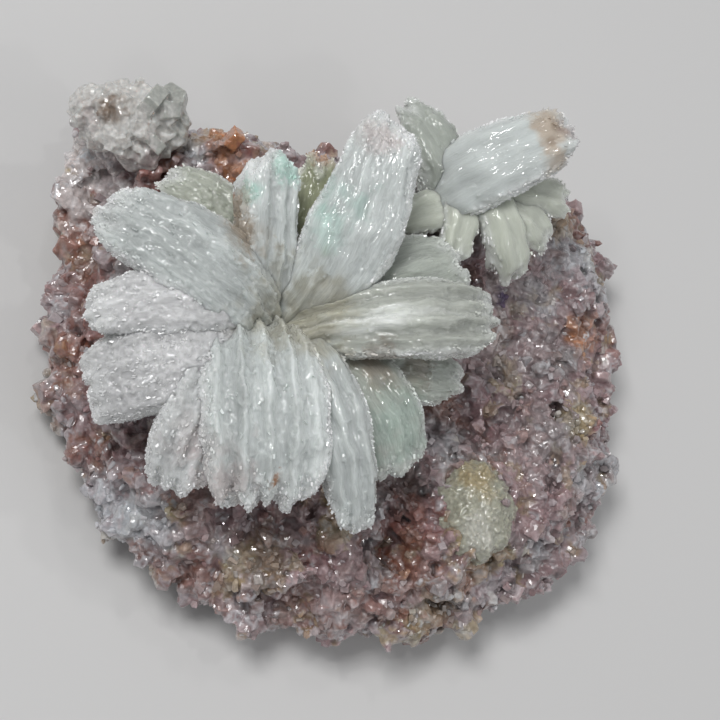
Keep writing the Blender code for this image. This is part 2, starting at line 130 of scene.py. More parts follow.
# How each blade is dressed: the depth of its pleats as a share of its thickness, how strongly its
# fibres stand out, how coarse its grain is, how many granules and finer teeth grow on it, and its colour.
Skin = namedtuple("Skin", "pleat streak grain granules teeth colour")
SKINS = {
    "bottom_broad": Skin(0.17, 1.0, 0.35, 3200, 2800, SPAR_WHITE),
    "tall": Skin(0.03, 0.8, 0.08, 2600, 2200, SPAR_WHITE),
    "lower_right": Skin(0.10, 0.9, 0.10, 1600, 1200, SPAR_SOFT),
    "upper_left": Skin(0.06, 1.0, 0.30, 2600, 2600, SPAR_SOFT),
    "right_front": Skin(0.12, 1.7, 0.15, 2400, 1800, SPAR_GREY),
    "left": Skin(0.04, 0.6, 0.55, 2400, 2400, SPAR_NEUTRAL),
    "bottom_left": Skin(0.09, 1.0, 0.70, 2800, 3200, FROST_WHITE),
    "lower_left": Skin(0.05, 1.0, 0.95, 3600, 4600, SPAR_NEUTRAL),
    "upper_small": Skin(0.09, 1.1, 0.10, 1600, 1200, SPAR_WHITE),
    "right_back": Skin(0.03, 0.4, 0.10, 900, 700, SPAR_SHADE),
    "lower_right_back": Skin(0.04, 0.5, 0.10, 900, 700, SPAR_SHADE),
    "right_low": Skin(0.07, 0.8, 0.35, 900, 600, SPAR_SHADE),
    "back_green": Skin(0.05, 0.4, 0.30, 400, 350, OLIVE),
    "back_left": Skin(0.05, 0.3, 0.50, 700, 700, SAGE),
    "second_large": Skin(0.04, 0.2, 0.05, 500, 500, SPAR_WHITE),
    "second_front": Skin(0.08, 0.15, 0.05, 100, 120, SPAR_CREAM),
    "second_left": Skin(0.08, 0.15, 0.05, 100, 120, SPAR_CREAM),
    "second_right": Skin(0.08, 0.15, 0.10, 130, 120, SPAR_CREAM),
    "second_far": Skin(0.08, 0.15, 0.10, 130, 120, SPAR_CREAM),
    "second_side": Skin(0.08, 0.15, 0.05, 100, 120, SPAR_CREAM),
    "second_back": Skin(0.06, 0.2, 0.30, 350, 300, SPAR_SHADE),
}

# The size of a facet on a blade before and after its granules are fused with it, the share of the
# fused facets that is kept, and the share of a blade's way where its tip's finer rings start.
BLADE_FACET, FUSED_FACET, FUSED_KEPT = 0.42, 0.32, 0.40
TIP_RINGS_START = 0.80
# Fibres come in two sizes: (width, length, height).
FIBRES = [(3.2, 26.0, 0.35), (1.1, 8.0, 0.16)]
KNOB_SIZE, KNOB_HEIGHT = 2.6, 0.8

# A stain is a patch of colour: its middle, its radius, its colour and how strong it is. Most are the thing's own
# stains; a few are painted shade, as noted where they stand.
StainOrShade = namedtuple("StainOrShade", "place radius colour strength")
BLADE_STAINS_AND_SHADE = [
    # The throat: cream tint and painted shade between the blades' roots.
    StainOrShade((-20, 4, 50), 13, CREAM_AND_SHADE, 0.6),
    StainOrShade((-11, 28, 57), 6, MINT, 0.35),
    StainOrShade((-14, 22, 56), 5, MINT, 0.3),
    StainOrShade((-6, 40, 62), 5, BLUSH, 0.35),
    StainOrShade((-24, 34, 58), 4, MINT, 0.6),
    StainOrShade((-31, 28, 57), 3, MINT, 0.6),
    StainOrShade((-34, 25, 53), 5.5, SMOKE_BROWN, 0.9),
    StainOrShade((-33, 19, 53), 6, SMOKE_BROWN, 0.9),
    StainOrShade((-34, 28, 54), 2.0, ORANGE_BROWN, 0.5),
    StainOrShade((-40, -23, 52), 8, BLUSH, 0.15),
    StainOrShade((-34, -28, 48), 8, BLUSH, 0.35),
    StainOrShade((-25, -30, 54), 1.5, RUST, 1.0),
    # The two tan patches in the hollow between the right front and right low blades: partly a brownish tint, partly
    # painted shade.
    StainOrShade((-2, -4, 52), 6, TAN, 0.5),
    StainOrShade((8, -4, 47), 5, TAN, 0.4),
    StainOrShade((4, -16, 43), 10, MINT, 0.2),
    StainOrShade((-13, 42, 46), 4, ORANGE_BROWN, 0.7),
    StainOrShade((33, 50, 59), 4.5, PEACH, 0.8),
    StainOrShade((34, 46, 60), 4.5, PEACH, 0.8),
    StainOrShade((35, 41, 58), 4.5, PEACH, 0.7),
    StainOrShade((34, 45, 60), 1.5, TAN, 0.5),
    StainOrShade((35, 49, 60), 1.5, TAN, 0.4),
    StainOrShade((39, 49, 58), 4, MAUVE, 0.4),
    StainOrShade((40, 45, 56), 4, MAUVE, 0.4),
    StainOrShade((-62, 24, 46), 4, BLUSH, 0.4),
]
ROCK_STAINS_AND_SHADE = [
    StainOrShade((-61, 31, 16), 8, RUST_RED, 0.8),
    StainOrShade((-58, 17, 16), 9, RED_BROWN, 0.8),
    StainOrShade((-64, 29, 15), 1.8, TEAL, 0.9),
    StainOrShade((-63, 12, 14), 4, ICE, 0.5),
    StainOrShade((-56, 8, 20), 7, RED_BROWN, 0.8),
    StainOrShade((-61, -2, 15), 9, RUST_RED, 0.6),
    StainOrShade((-58, -10, 12), 8, MAUVE, 0.7),
    StainOrShade((-53, -19, 16), 8, RED_BROWN, 0.8),
    StainOrShade((-46, -22, 22), 8, MAUVE, 0.7),
    StainOrShade((-52, -29, 12), 8, ICE, 0.7),
    StainOrShade((-43, -34, 18), 8, ICE, 0.7),
    StainOrShade((-34, -33, 24), 5, BLUSH, 0.5),
    StainOrShade((-40, -44, 11), 4, OCHRE, 0.8),
    StainOrShade((-34, -42, 18), 7, RED_BROWN, 0.7),
    StainOrShade((-26, -32, 24), 8, MAUVE, 0.7),
    StainOrShade((-14, -31, 26), 6, DARK_BROWN, 0.5),
    StainOrShade((-27, -40, 22), 4, ICE, 0.5),
    StainOrShade((-20, -42, 22), 8, OCHRE, 0.4),
    StainOrShade((-31, -45, 16), 6, UMBER, 0.6),
    StainOrShade((-7, -42, 25), 5, MAGENTA, 0.5),
    StainOrShade((-5, -48, 22), 7, PINK_GREY, 0.6),
    StainOrShade((6, -30, 25), 4, ICE, 0.5),
    # Painted shade in the plate's deep hollow.
    StainOrShade((10, -40, 21), 4, PIT_SHADE, 1.0),
    StainOrShade((14, -34, 24), 8, RED_BROWN, 0.8),
    StainOrShade((15, -43, 21), 7, RUST_RED, 0.6),
    StainOrShade((13, -25, 26), 6, DARK_BROWN, 0.7),
    StainOrShade((22, -5, 26), 6, UMBER, 0.8),
    StainOrShade((20, -13, 26), 5, ICE, 0.5),
    StainOrShade((36, 12, 27), 5, TAN, 0.5),
    StainOrShade((45, 8, 27), 12, ROCK_GREY, 0.5),
    StainOrShade((46, 21, 27), 6, ICE, 0.4),
    StainOrShade((44, 33, 26), 5, ICE, 0.5),
    StainOrShade((46, -12, 27), 10, ROCK_GREY, 0.5),
    StainOrShade((58, 14, 23), 6, ORANGE_BROWN, 0.8),
    StainOrShade((57, 20, 26), 4, MAUVE, 0.7),
    StainOrShade((57, 30, 24), 8, ICE, 0.7),
    StainOrShade((57, 43, 18), 6, RED_BROWN, 0.6),
    StainOrShade((64, 5, 18), 7, MAUVE, 0.6),
    StainOrShade((56, -8, 26), 6, OCHRE, 0.8),
    StainOrShade((59, -9, 25), 2.5, MAGENTA, 0.9),
    StainOrShade((58, -22, 22), 7, ICE, 0.5),
    StainOrShade((47, -30, 22), 9, MAUVE, 0.8),
    StainOrShade((47, -36, 20), 4, ICE, 0.6),
    StainOrShade((29, -44, 20), 5, ORANGE_BROWN, 0.5),
    StainOrShade((22, -49, 16), 7, OCHRE, 0.5),
    StainOrShade((37, -44, 17), 5, ICE, 0.4),
    StainOrShade((36, 21, 28), 6, LILAC_WHITE, 0.4),
    StainOrShade((35.6, 20, 28.5), 2.6, PURPLE, 1.0),
    StainOrShade((-32, 47, 36), 6, ORANGE_BROWN, 0.9),
    StainOrShade((-26, 47, 36), 5, MAGENTA, 0.6),
    StainOrShade((-30, 40, 35), 4, ORANGE_BROWN, 0.8),
    StainOrShade((-38, 43, 35), 4, ICE, 0.7),
    StainOrShade((-45, 38, 33), 8, RED_BROWN, 0.8),
    StainOrShade((-52, 38, 26), 5, MAUVE, 0.6),
    StainOrShade((-12, 48, 30), 8, MAUVE, 0.7),
    StainOrShade((-60, 46, 26), 6, LILAC_WHITE, 0.6),
]
LUMP_STAINS = [
    StainOrShade((-58, 48, 43), 3, TAN, 0.9),
    StainOrShade((-60, 49, 36), 4, MAGENTA, 0.5),
    StainOrShade((-49, 42, 36), 6, PINK_GREY, 0.7),
    StainOrShade((-43, 48, 38), 7, CLEAR_GREY, 0.8),
    StainOrShade((27, -22, 31), 6, OCHRE, 0.7),
    StainOrShade((28, -35, 31), 6, CLUSTER_WHITE, 0.3),
]

# The plate of rock, as the solid has it.
PLATE_TOP = 25.0
PLATE_RIM = 14.0
RIM_STARTS = 0.80
BACK_INSET = 0.90
PLATE_OUTLINE = [
    (69, 7), (70, 22), (69, 37), (62, 48), (48, 52), (31, 55), (16, 56), (-3, 54), (-12, 53),
    (-32, 55), (-41, 56), (-48, 58), (-56, 59), (-60, 51), (-60, 43), (-63, 32), (-62, 21),
    (-64, 9), (-63, -5), (-59, -16), (-55, -28), (-46, -36), (-36, -44), (-28, -49), (-17, -54),
    (0, -57), (21, -55), (33, -50), (47, -45), (60, -34), (67, -20), (69, -7),
]  # fmt: skip
LUMP_SIZE, LUMP_HEIGHT = 13.0, 3.2
GRIT_SIZE, GRIT_HEIGHT = 4.0, 2.6
SMOOTH_FOOT = 5.0
Hill = namedtuple("Hill", "x y radius height")
PLATE_HILLS = [
    Hill(-22, 5, 29, 12),
    Hill(26, 39, 19, 13),
    Hill(-28, 51, 17, 11),
    Hill(-55, 49, 14, 10),
    Hill(30, -29, 11, 3),
    Hill(-57, -4, 12, -4),
    Hill(10, -39, 5, -7),
    Hill(-55, 37, 5, -7),
    Hill(-27, -40, 9, -3),
    Hill(47, -6, 14, 3),
]
PLATE_CELLS, WALL_STEPS = 230, 18
# The crust is of grown-together crystals about this wide, which bulge and lean this much.
FACET_SIZE, FACET_BULGE, FACET_LEAN = 2.6, 0.9, 0.40
FINE_SIZE, FINE_BULGE = 1.3, 0.35
# Deep holes open between the crystals, about this far apart.
HOLE_SIZE, HOLE_DEPTH = 8.0, 2.0
# Near the upper left corner the crust is a web of pale walls round red-brown pits.
WEB_MIDDLE, WEB_RADIUS = (-58, 41, 21), 14
WEB_SIZE, WALL_RISE, PIT_DEPTH = 8.0, 1.6, 3.0
# The rock is of many colours, in patches of these two sizes.
ROCK_TINTS = [MAUVE, PINK_GREY, ROCK_GREY, UMBER, MAUVE, OCHRE, PINK_GREY, BROWN_GREY, ROCK_GREY]
PATCH_SIZES = (8.0, 3.5)

# The large crystals of the plate, as the solid has them.
CRYSTAL_COUNT = 52
CRYSTAL_SMALLEST, CRYSTAL_LARGEST = 3.5, 6.0
CRYSTALS_START, CRYSTALS_END = 0.30, 1.45
BLOCK_SHARE = 0.6
CRYSTAL_RISE = -0.1
GOLDEN_TURN = math.pi * (3 - math.sqrt(5))

# The druse: how many small crystals of each form grow on the rock, and their smallest and largest size.
Druse = namedtuple("Druse", "form count smallest largest")
DRUSE = [
    Druse("block", 2200, 1.5, 4.8),
    Druse("point", 2200, 1.4, 4.4),
    Druse("plate", 1200, 1.8, 5.5),
]
SPARKLE = {
    "rock_sparkle": Druse("point", 3000, 1.0, 2.8),
    "rock_blocks": Druse("block", 2200, 1.0, 2.7),
}
# The rock is fused at this facet size, and this share of its facets is kept.
ROCK_FACET, ROCK_KEPT = 0.5, 0.34


def linear(hex_colour):
    """The linear red, green and blue of an sRGB hex colour."""
    shares = [int(hex_colour[start : start + 2], 16) / 255 for start in (1, 3, 5)]
    return [s / 12.92 if s <= 0.04045 else ((s + 0.055) / 1.055) ** 2.4 for s in shares]


def smooth_step(low, high, value):
    share = np.clip((value - low) / (high - low), 0.0, 1.0)
    return share * share * (3 - 2 * share)


def unit(vectors):
    """The vectors, each made 1 long."""
    return vectors / np.linalg.norm(vectors, axis=-1, keepdims=True)


def lattice(cells, seed):
    """A number from 0 to 1 for each whole place of an endless lattice."""
    mixed = cells[..., 0] * 73856093 ^ cells[..., 1] * 19349663 ^ cells[..., 2] * 83492791
    mixed = (mixed ^ seed * 6542989) * 668265263
    mixed = (mixed ^ (mixed >> 15)) * 374761393
    return ((mixed ^ (mixed >> 13)) & 0xFFFF) / 0xFFFF


def wander(points, seed):
    """Smooth noise from -1 to 1, in lumps of about 1."""
    low = np.floor(points).astype(np.int64)
    share = smooth_step(0, 1, points - low)
    total = 0.0
    for corner in product((0, 1), repeat=3):
        weight = np.where(corner, share, 1 - share).prod(axis=-1)
        total = total + weight * lattice(low + corner, seed)
    return total * 2 - 1


def nearest_seeds(points, seed):
    """(place, lattice cell, nearest distance, second distance) of the scattered seed nearest to each point."""
    low = np.floor(points).astype(np.int64)
    nearest = np.full(len(points), 9.0)
    second = nearest.copy()
    place = points.copy()
    home = low.copy()
    for offset in product((-1, 0, 1), repeat=3):
        cell = low + offset
        spot = cell + np.stack([lattice(cell, seed + axis) for axis in range(3)], axis=-1)
        distance = np.linalg.norm(points - spot, axis=-1)
        closer = distance < nearest
        second = np.where(closer, nearest, np.minimum(second, distance))
        nearest = np.where(closer, distance, nearest)
        place[closer] = spot[closer]
        home[closer] = cell[closer]
    return place, home, nearest, second


def solid_shift(points, size, height):
    """The solids' own smooth random shift of up to about height, in lumps of about that size."""
    return np.array([noise.noise_vector(point) for point in points / size]) * height


def mottled(points, colours, size, seed):
    """One of the colours at each point, in ragged patches of about that size."""
    ragged = np.stack([wander(points / 1.6, seed + axis) for axis in range(3)], axis=1) * 0.9
    home = nearest_seeds((points + ragged) / size, seed)[1]
    palette = np.array([linear(colour) for colour in colours])
    return palette[(lattice(home, seed + 7) * len(colours)).astype(int)]


def rock_base(points):
    """The rock's own colour before its stains: two sizes of patches laid over each other."""
    large, small = (mottled(points, ROCK_TINTS, size, 80 + 20 * n) for n, size in enumerate(PATCH_SIZES))
    return large * 0.55 + small * 0.45


def paint(points, base, marks):
    """The colour at each point: a base colour with stains and a few patches of painted shade on it, whose edges
    wander.
    """
    painted = base.copy()
    ragged = 0.45 * wander(points / 3.0, 5) + 0.3 * wander(points / 1.2, 6)
    for mark in marks:
        distance = np.linalg.norm(points - mark.place, axis=1) / mark.radius
        share = mark.strength * smooth_step(1.25, 0.35, distance + ragged)
        painted += (linear(mark.colour) - painted) * share[:, None]
    return painted


def plain(colour, count):
    """One colour for each of some points."""
    return np.tile(linear(colour), (count, 1))


# A shape is a set of points in millimetres, triangles between them, and a colour, a place in the
# fibres and a smooth or flat shading for each.
Shape = namedtuple("Shape", "points faces tint fibre smooth")


def shape_of(bm):
    """(points, triangles) of a bmesh, which is freed."""
    bmesh.ops.triangulate(bm, faces=bm.faces)
    bmesh.ops.recalc_face_normals(bm, faces=bm.faces)
    bm.verts.index_update()
    points = np.array([vert.co for vert in bm.verts])
    faces = np.array([[vert.index for vert in face.verts] for face in bm.faces])
    bm.free()
    return points, faces


def point_normals(points, faces):
    """The outward direction at each point, from the faces round it."""
    corners = points[faces]
    across = np.cross(corners[:, 1] - corners[:, 0], corners[:, 2] - corners[:, 0])
    total = np.zeros_like(points)
    for corner in range(3):
        np.add.at(total, faces[:, corner], across)
    return total / np.maximum(np.linalg.norm(total, axis=1, keepdims=True), 1e-9)


def joined(shapes):
    """Several shapes as one."""
    starts = np.cumsum([0] + [len(shape.points) for shape in shapes[:-1]])
    return Shape(
        np.concatenate([shape.points for shape in shapes]),
        np.concatenate([shape.faces + start for shape, start in zip(shapes, starts)]),
        np.concatenate([shape.tint for shape in shapes]),
        np.concatenate([shape.fibre for shape in shapes]),
        np.concatenate([shape.smooth for shape in shapes]),
    )


def piece(name, shape, finish, slot, *nodes):
    """A finished piece: its mesh in metres, its colour and fibre attributes, and the solids it stands for."""
    mesh = bpy.data.meshes.new(name)
    mesh.from_pydata((shape.points * MM).tolist(), [], shape.faces.tolist())
    tint = mesh.attributes.new("tint", "FLOAT_COLOR", "POINT")
    opaque = np.ones((len(shape.tint), 1))
    tint.data.foreach_set("color", np.hstack([shape.tint, opaque]).astype(np.float32).ravel())
    fibre = mesh.attributes.new("fibre", "FLOAT_VECTOR", "POINT")
    fibre.data.foreach_set("vector", shape.fibre.astype(np.float32).ravel())
    mesh.polygons.foreach_set("use_smooth", shape.smooth)
    mesh.materials.append(finish)
    mesh.update()
    obj = bpy.data.objects.new(name, mesh)
    bpy.context.scene.collection.objects.link(obj)
    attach(obj, "root")
    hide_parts(*nodes)
    return obj


def spine(blade, along):
    """(points, tangents, length) of a blade's spine: the round arc through its root, crest and tip."""
    root, crest, tip = (np.array(point, float) for point in (blade.root, blade.crest, blade.tip))
    to_crest, to_tip = crest - root, tip - root
    axis = np.cross(to_crest, to_tip)
    reach = np.cross(axis, to_crest) * (to_tip @ to_tip) + np.cross(to_tip, axis) * (to_crest @ to_crest)
    centre = root + reach / (2 * axis @ axis)
    axis = unit(axis)
    start, end = root - centre, tip - centre
    sweep = math.atan2(np.cross(start, end) @ axis, start @ end) % math.tau
    angle = (sweep * along)[:, None]
    arms = start * np.cos(angle) + np.cross(axis, start) * np.sin(angle)
    return centre + arms, unit(np.cross(axis, arms)), sweep * np.linalg.norm(start)


def blade_frames(blade, tangents):
    """(across, up) of a blade's section, which starts level and turns about the spine by the roll."""
    across = np.cross((0, 0, 1), np.array(blade.tip) - blade.root)
    across = unit(across - (tangents @ across)[:, None] * tangents)
    up = np.cross(tangents, across)
    roll = math.radians(blade.roll)
    return across * math.cos(roll) + up * math.sin(roll), up * math.cos(roll) - across * math.sin(roll)


def blade_spread(blade, along):
    """The share of its greatest width that a blade has along its spine."""
    growing = blade.root_share + (1 - blade.root_share) * smooth_step(0, blade.widest, along)
    closing = 1 - (1 - blade.tip_share) * smooth_step(blade.widest, 1, along)
    return np.where(along < blade.widest, growing, closing)


def end_rounding(distance, reach):
    share = np.clip(distance / reach, 0, 1)
    return np.sqrt(1 - (1 - share) ** 2)


def blade_section(blade, turn):
    """(place across, rise, pleat) for shares of a full turn round a blade's section."""
    upper = 2 * blade.pleats / (2 * blade.pleats + LOWER_SIDES)
    above = turn < upper
    across = np.where(above, 1 - 2 * turn / upper, 2 * (turn - upper) / (1 - upper) - 1)
    pleat = np.where(above, -np.cos(math.tau * blade.pleats * turn / upper), -1.0)
    rise = np.maximum(0, 1 - np.abs(across) ** SECTION_POWER) ** (1 / SECTION_POWER)
    return across, np.where(above, rise, -rise), pleat


def billow(points, seed):
    """Rounded bumps from 0 to 1 with creases between them."""
    return np.abs(wander(points, seed))


def grown_bumps(points, size, seed):
    """The bulge of crystals of about that size, from 1 in their middles to 0 where they meet."""
    place, home, nearest, second = nearest_seeds(points / size, seed)
    return smooth_step(0.0, 0.55, second - nearest)


def blade_body(name):
    """(shape, tangents, edge) of a blade: a sphere drawn out along its spine, with its relief and colour.

    edge is 1 on the blade's side edges and tip and 0 on its broad faces.
    """
    blade, skin = BLADES[name], SKINS[name]
    seed = list(BLADES).index(name) * 10
    length = spine(blade, np.zeros(1))[2]
    sides = 2 * round((blade.width + blade.thickness) * 0.9 / BLADE_FACET)
    rings = round(length / BLADE_FACET)
    bm = bmesh.new()
    bmesh.ops.create_uvsphere(bm, u_segments=sides, v_segments=rings, radius=1)
    ball, faces = shape_of(bm)

    way = np.arccos(-np.clip(ball[:, 2], -1, 1)) / math.pi
    turn = (np.arctan2(ball[:, 1], ball[:, 0]) / math.tau - 0.25) % 1
    cap = TIP_ROUND * (1 - np.cos((1 - way) / (1 - TIP_RINGS_START) * math.pi / 2))
    along = np.where(way < TIP_RINGS_START, way / TIP_RINGS_START * (1 - TIP_ROUND), 1 - cap)

    spots, tangents, length = spine(blade, along)
    across, up = blade_frames(blade, tangents)
    ends = end_rounding(along, ROOT_ROUND) * end_rounding(1 - along, TIP_ROUND)
    spread = blade_spread(blade, along)
    side, rise, pleat = blade_section(blade, turn)
    bundle_places = np.stack([side * blade.width / 2 / BUNDLE_WIDTH, np.full_like(side, blade.width), rise], 1)
    bundle = np.array([noise.noise(place) for place in bundle_places])
    depth = 0.6 + 0.4 * spread + skin.pleat * pleat * (1 + PLEAT_VARIETY * bundle)
    half_width = blade.width / 2 * spread * ends
    half_thickness = blade.thickness / 2 * depth * ends
    reach = (bundle * BUNDLE_REACH + pleat * TIP_TEETH) * smooth_step(0.7, 0.95, along)
    points = spots + across * (side * half_width)[:, None] + up * (rise * half_thickness)[:, None]
    points += tangents * reach[:, None]
    points += solid_shift(points, BLADE_NOISE_SIZE, BLADE_NOISE_HEIGHT)

    fibre = np.stack(
        [side * blade.width / 2 * ends, along * length + reach, rise * blade.thickness / 2 * ends], axis=1
    )
    meander = np.stack([wander(fibre / 9.0, seed + 8), np.zeros_like(side), np.zeros_like(side)], axis=1)
    edge = np.maximum(smooth_step(0.82, 1.0, np.abs(side)), smooth_step(0.84, 0.97, along))
    relief = 0.0
    for layer, (width, run, height) in enumerate(FIBRES):
        relief = relief + height * wander((fibre + meander) / (width, run, width), seed + layer)
    knobs = billow(points / KNOB_SIZE, seed + 5) * KNOB_HEIGHT * smooth_step(0.78, 0.95, along)
    points += point_normals(points, faces) * (relief * skin.streak + knobs - 0.2)[:, None]

    tint = plain(skin.colour, len(points))
    # Edges and tip whitened: partly real whitish frost, partly painted highlight where the thin edges catch the
    # light.
    tint += (linear(FROST_AND_HIGHLIGHT) - tint) * (0.6 * edge)[:, None]
    # Fibre crests whitened: painted highlight.
    tint += (linear(FROST_AND_HIGHLIGHT) - tint) * (0.6 * smooth_step(0.15, 0.55, relief * skin.streak))[:, None]
    tint = paint(points, tint, BLADE_STAINS_AND_SHADE)
    # Painted shade and highlight: the grooves between the fibres darker, their crests lighter.
    tint *= (0.86 + 0.18 * smooth_step(-0.35, 0.30, relief * skin.streak))[:, None]
    return Shape(points, faces, tint, fibre, np.ones(len(faces), bool)), tangents, edge


def small_crystal(form):
    """(points, triangles) of one small crystal about 1 long, standing on the origin along Z."""
    bm = bmesh.new()
    if form == "block":
        bmesh.ops.create_cube(bm, size=0.8)
    if form == "point":
        bmesh.ops.create_cone(
            bm, cap_ends=True, cap_tris=False, segments=6, radius1=0.42, radius2=0.36, depth=0.8
        )
        top = max(bm.faces, key=lambda face: face.calc_center_median().z)
        tip = bmesh.ops.poke(bm, faces=[top])["verts"]
        bmesh.ops.translate(bm, vec=(0, 0, 0.35), verts=tip)
    if form == "plate":
        bmesh.ops.create_cone(
            bm, cap_ends=True, cap_tris=False, segments=6, radius1=0.5, radius2=0.44, depth=0.3
        )
        bmesh.ops.transform(bm, matrix=Matrix.Rotation(math.pi / 2, 4, "X"), verts=bm.verts)
    if form == "granule":
        bmesh.ops.create_cone(
            bm, cap_ends=True, cap_tris=False, segments=3, radius1=0.62, radius2=0.48, depth=1
        )
    return shape_of(bm)


def scattered(points, faces, weights, count):
    """(faces, places) chosen at random over a surface, in proportion to each face's area and weight."""
    corners = points[faces]
    across = np.cross(corners[:, 1] - corners[:, 0], corners[:, 2] - corners[:, 0])
    chances = np.linalg.norm(across, axis=1) * weights
    chosen = DICE.choice(len(faces), count, p=chances / chances.sum())
    shares = DICE.dirichlet((1, 1, 1), count)
    return chosen, (corners[chosen] * shares[:, :, None]).sum(axis=1)


def standing_frames(directions, turns):
    """A right-handed frame for each direction, whose third column it is, turned about it."""
    aside = np.where(np.abs(directions[:, 2:]) > 0.9, (1.0, 0, 0), (0, 0, 1.0))
    first = unit(np.cross(aside, directions))
    second = np.cross(directions, first)
    cosine, sine = np.cos(turns)[:, None], np.sin(turns)[:, None]
    return np.stack([first * cosine + second * sine, second * cosine - first * sine, directions], axis=2)


def grown(form, places, directions, sizes, tint, fibre):
    """One shape of many small crystals: each at its place, along its direction, with its three sizes."""
    points, faces = small_crystal(form)
    frames = standing_frames(directions, DICE.uniform(0, math.tau, len(places)))
    spread = points[None] * sizes[:, None]
    every = places[:, None] + np.einsum("nij,npj->npi", frames, spread)
    numbers = faces[None] + (np.arange(len(places)) * len(points))[:, None, None]
    return Shape(
        every.reshape(-1, 3),
        numbers.reshape(-1, 3),
        np.repeat(tint, len(points), axis=0),
        np.repeat(fibre, len(points), axis=0),
        np.zeros(len(places) * len(faces), bool),
    )


def granules(body, tangents, edge, skin):
    """Small crystals grown on a blade: long and flat on its faces, short and proud on its edges and tip."""
    outwards = point_normals(body.points, body.faces)
    corners = body.faces[:, 0]
    weights = (0.04 + 0.6 * skin.grain + edge[corners]) * (outwards[corners, 2] > -0.3)
    chosen, places = scattered(body.points, body.faces, weights, skin.granules)
    corner = corners[chosen]
    outward = outwards[corner]
    rough = np.clip(edge[corner] + skin.grain, 0, 1)[:, None]
    lift = DICE.normal(0.02, 0.04, (skin.granules, 1)) + 0.2 * rough
    swing = DICE.normal(0, 1, (skin.granules, 3)) * (0.05 + 0.4 * rough)
    directions = unit(tangents[corner] + outward * lift + swing)
    width = DICE.uniform(0.4, 0.8, (skin.granules, 1)) + DICE.uniform(0, 0.5, (skin.granules, 1)) * rough
    length = DICE.uniform(0.6, 1.3, (skin.granules, 1)) * (3.0 - 2.0 * rough)
    sizes = np.hstack([width, width * DICE.uniform(0.7, 1.2, (skin.granules, 1)), length])
    places = places + outward * (0.15 + 0.35 * rough - width / 2)
    return grown("granule", places, directions, sizes, body.tint[corner], body.fibre[corner])


def fused(shape, facet, kept=1.0, smooth=True):
    """A shape whose overlapping parts are one closed skin, with a share of its facets kept."""
    mesh = bpy.data.meshes.new("fused")
    mesh.from_pydata(shape.points.tolist(), [], shape.faces.tolist())
    obj = bpy.data.objects.new("fused", mesh)
    bpy.context.scene.collection.objects.link(obj)
    remesh = obj.modifiers.new("Remesh", "REMESH")
    remesh.mode = "VOXEL"
    remesh.voxel_size = facet
    if kept < 1:
        obj.modifiers.new("Decimate", "DECIMATE").ratio = kept
    skin = obj.evaluated_get(bpy.context.evaluated_depsgraph_get()).to_mesh()
    points = np.empty(len(skin.vertices) * 3)
    skin.vertices.foreach_get("co", points)
    points = points.reshape(-1, 3)
    skin.calc_loop_triangles()
    faces = np.empty(len(skin.loop_triangles) * 3, int)
    skin.loop_triangles.foreach_get("vertices", faces)
    bpy.data.objects.remove(obj)
    bpy.data.meshes.remove(mesh)
    faces = faces.reshape(-1, 3)

    tree = kdtree.KDTree(len(shape.points))
    for number, point in enumerate(shape.points):
        tree.insert(point, number)
    tree.balance()
    nearest = np.array([tree.find(point)[1] for point in points])
    return Shape(points, faces, shape.tint[nearest], shape.fibre[nearest], np.full(len(faces), smooth))


def teeth(body, tangents, edge, skin):
    """The finest crystals of a blade, which make its edges and its tip finely serrated."""
    count = skin.teeth
    outwards = point_normals(body.points, body.faces)
    corners = body.faces[:, 0]
    weights = (0.15 * skin.grain**2 + edge[corners]) * (outwards[corners, 2] > -0.4)
    chosen, places = scattered(body.points, body.faces, weights, count)
    corner = corners[chosen]
    outward = outwards[corner]
    directions = unit(tangents[corner] + outward * 0.4 + DICE.normal(0, 0.3, (count, 3)))
    width = DICE.uniform(0.22, 0.50, (count, 1))
    sizes = width * np.stack([np.ones(count), DICE.uniform(0.7, 1.2, count), DICE.uniform(1.1, 2.4, count)], axis=1)
    # A quarter lighter than the blade under them: painted light, standing in for the subsurface glow that these
    # crystals lack.
    tint = np.minimum(body.tint[corner] * 1.25, 0.88)
    return grown("granule", places + outward * 0.25, directions, sizes, tint, body.fibre[corner])


def blade_pieces(name, spar, frost):
    """A blade's body with its granules fused into it, and the finest crystals that stand on it."""
    body, tangents, edge = blade_body(name)
    skin = SKINS[name]
    crust = fused(joined([body, granules(body, tangents, edge, skin)]), FUSED_FACET, FUSED_KEPT)
    piece(name + "_sheaf", crust, spar, "white_gypsum", name + "_blade")
    piece(name + "_teeth", teeth(body, tangents, edge, skin), frost, "white_gypsum", name + "_blade")


def outline_radius(angles):
    """The plate's widest reach from the origin at each angle, straight between the outline's points."""
    heading = np.stack([np.cos(angles), np.sin(angles)])
    found = np.full(len(angles), np.nan)
    for (ax, ay), (bx, by) in zip(PLATE_OUTLINE, PLATE_OUTLINE[1:] + PLATE_OUTLINE[:1]):
        cross = (bx - ax) * heading[1] - (by - ay) * heading[0]
        cross = np.where(np.abs(cross) < 1e-9, 1e-9, cross)
        reach = ((bx - ax) * ay - (by - ay) * ax) / cross
        share = (ay * heading[0] - ax * heading[1]) / cross
        fits = (reach > 0) & (share >= -1e-9) & (share <= 1 + 1e-9)
        found = np.where(fits, reach, found)
    return found


def plate_height(x, y):
    height = PLATE_TOP
    for hill in PLATE_HILLS:
        distance = np.hypot(x - hill.x, y - hill.y) / hill.radius
        height = height + hill.height * np.exp(-distance * distance)
    return height


def square_to_disc(u, v):
    """(share of the reach, angle) for places on a square from -1 to 1, with cells of even size."""
    wide = np.abs(u) > np.abs(v)
    share = np.where(wide, u, v)
    safe = np.where(share == 0, 1.0, share)
    angle = np.where(wide, math.pi / 4 * v / safe, math.pi / 2 - math.pi / 4 * u / safe)
    return np.abs(share), angle + np.where(share < 0, math.pi, 0)


